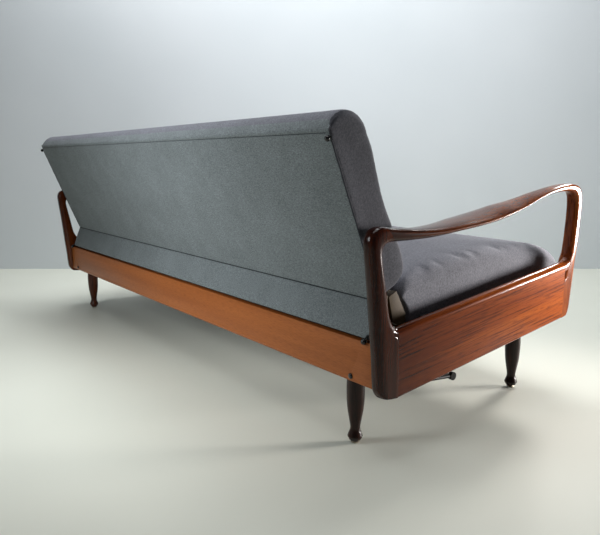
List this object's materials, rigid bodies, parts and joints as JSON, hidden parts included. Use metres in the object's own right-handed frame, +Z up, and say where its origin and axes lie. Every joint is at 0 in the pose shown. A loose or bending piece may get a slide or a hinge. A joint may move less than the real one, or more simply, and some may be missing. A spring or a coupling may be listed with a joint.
{
  "type": "sofa bed",
  "caption": "Sofa bed with shaped show-wood arms: the seat slides forward on rollers while the hinged back lies down behind it onto the rear rail.",
  "frame": {"origin": "on the floor under the centre of the sofa's box, with the seat pushed in", "axes": "+X along the length to the right seen from the front, -Y to the front, +Z up"},
  "size_m": [2.0676, 0.875, 0.7671],
  "materials": {
    "show_wood": "oiled and polished, glossy",
    "leg_wood": "polished",
    "rail_wood": "satin",
    "frame_wood": "raw, sawn",
    "rear_fabric": "plain weave",
    "seat_fabric": "plain weave",
    "webbing": "woven strap",
    "roller_nylon": "moulded nylon",
    "black_steel": "black gloss",
    "glide_metal": "domed nail glide",
    "steel": "zinc-plated"
  },
  "bodies": {
    "frame": {"left_rear_post": "show_wood", "left_armrest": "show_wood", "left_front_post": "show_wood", "left_side_panel": "show_wood", "right_rear_post": "show_wood", "right_armrest": "show_wood", "right_front_post": "show_wood", "right_side_panel": "show_wood", "rear_rail": "rail_wood", "front_rail": "rail_wood", "rear_bearer": "frame_wood", "front_bearer": "frame_wood", "cross_bearers": "frame_wood", "corner_blocks": "frame_wood", "left_rear_leg": "leg_wood", "right_rear_leg": "leg_wood", "left_front_leg": "leg_wood", "right_front_leg": "leg_wood", "leg_plates": "steel", "leg_glides": "glide_metal", "rail_bolts": "black_steel", "left_under_bar": "black_steel", "right_under_bar": "black_steel", "left_track": "steel", "right_track": "steel", "front_roller_axles": "steel"},
    "seat_carriage": {"seat_end_rails": "frame_wood", "seat_front_rail": "frame_wood", "seat_rear_rail": "frame_wood", "hinge_rail": "frame_wood", "seat_webbing": "webbing", "seat_side_runners": "steel", "seat_border": "seat_fabric", "seat_cushion": "seat_fabric", "rear_roller_axles": "steel", "hinge_pins": "steel"},
    "back": {"back_uprights": "frame_wood", "back_top_rail": "frame_wood", "back_bottom_rail": "frame_wood", "back_tail_board": "frame_wood", "back_webbing": "webbing", "back_cushion": "seat_fabric", "back_rear_cover": "rear_fabric", "back_end_pads": "seat_fabric", "back_tail_cover": "rear_fabric", "left_hinge_arm": "steel", "right_hinge_arm": "steel", "lower_studs": "black_steel", "upper_studs": "black_steel"},
    "left_front_roller": {"left_front_roller": "roller_nylon"},
    "right_front_roller": {"right_front_roller": "roller_nylon"},
    "left_rear_roller": {"left_rear_roller": "roller_nylon"},
    "right_rear_roller": {"right_rear_roller": "roller_nylon"}
  },
  "joints": [
    {"name": "seat_slide", "type": "slide", "parent": "frame", "child": "seat_carriage", "axis": [0, -1, 0], "range_m": [0, 0.3413]},
    {"name": "back_fold", "type": "hinge", "parent": "seat_carriage", "child": "back", "pos_m": [0, 0.232, 0.33], "axis": [-1, 0, 0], "range_deg": [0, 68.87]},
    {"name": "left_front_spin", "type": "hinge", "parent": "frame", "child": "left_front_roller", "pos_m": [-0.995, -0.316, 0.2697], "axis": [1, 0, 0], "continuous": true},
    {"name": "right_front_spin", "type": "hinge", "parent": "frame", "child": "right_front_roller", "pos_m": [0.995, -0.316, 0.2697], "axis": [1, 0, 0], "continuous": true},
    {"name": "left_rear_spin", "type": "hinge", "parent": "seat_carriage", "child": "left_rear_roller", "pos_m": [-0.995, 0.15, 0.302], "axis": [1, 0, 0], "continuous": true},
    {"name": "right_rear_spin", "type": "hinge", "parent": "seat_carriage", "child": "right_rear_roller", "pos_m": [0.995, 0.15, 0.302], "axis": [1, 0, 0], "continuous": true}
  ],
  "couplings": [
    {"joint": "back_fold", "follows": "seat_slide", "rad_per_m": 3.5059},
    {"joint": "left_front_spin", "follows": "seat_slide", "rad_per_m": 83.333},
    {"joint": "right_front_spin", "follows": "seat_slide", "rad_per_m": 83.333},
    {"joint": "left_rear_spin", "follows": "seat_slide", "rad_per_m": 100},
    {"joint": "right_rear_spin", "follows": "seat_slide", "rad_per_m": 100}
  ]
}
